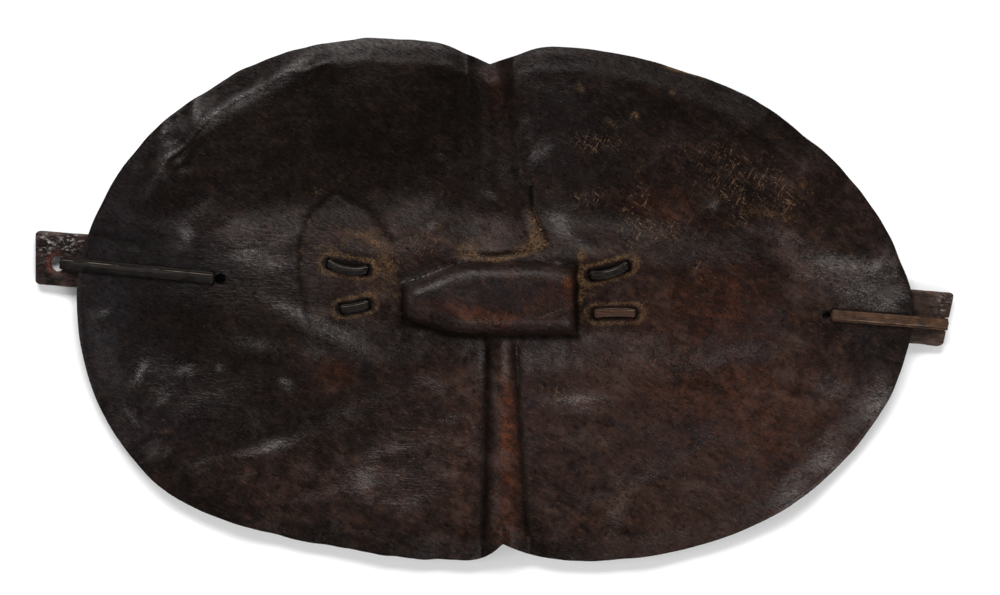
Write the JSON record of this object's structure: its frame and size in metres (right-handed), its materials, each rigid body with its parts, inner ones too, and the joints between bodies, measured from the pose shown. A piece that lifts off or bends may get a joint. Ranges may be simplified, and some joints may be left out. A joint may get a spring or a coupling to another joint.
{
  "type": "hide shield",
  "caption": "Oval shield of thick moulded hide with a hollow boss over the hand and a rib above and below it, held by thongs to a wooden stave along its back.",
  "frame": {"origin": "on the floor, below the middle of the shield as it lies on its back", "axes": "+Z out of the shield's front, +X along its long axis towards the slanted end of the stave, +Y towards the rib with the wider notch"},
  "size_m": [0.9233, 0.5252, 0.0665],
  "materials": {
    "hide": "dark brown rawhide, hand-rubbed, worn to red brown on boss and rib, ochre dust in the creases",
    "stave": "dark, hand-polished wood, scuffed at its ends",
    "thong": "stiff blackened leather, dull",
    "worn_thong": "worn tan leather, dull"
  },
  "bodies": {
    "root": {"hide": "hide", "stave": "stave", "left_end_thong": "thong", "right_end_thong": "worn_thong", "left_grip_lashing": "thong", "right_grip_lashing": "thong"}
  },
  "joints": []
}
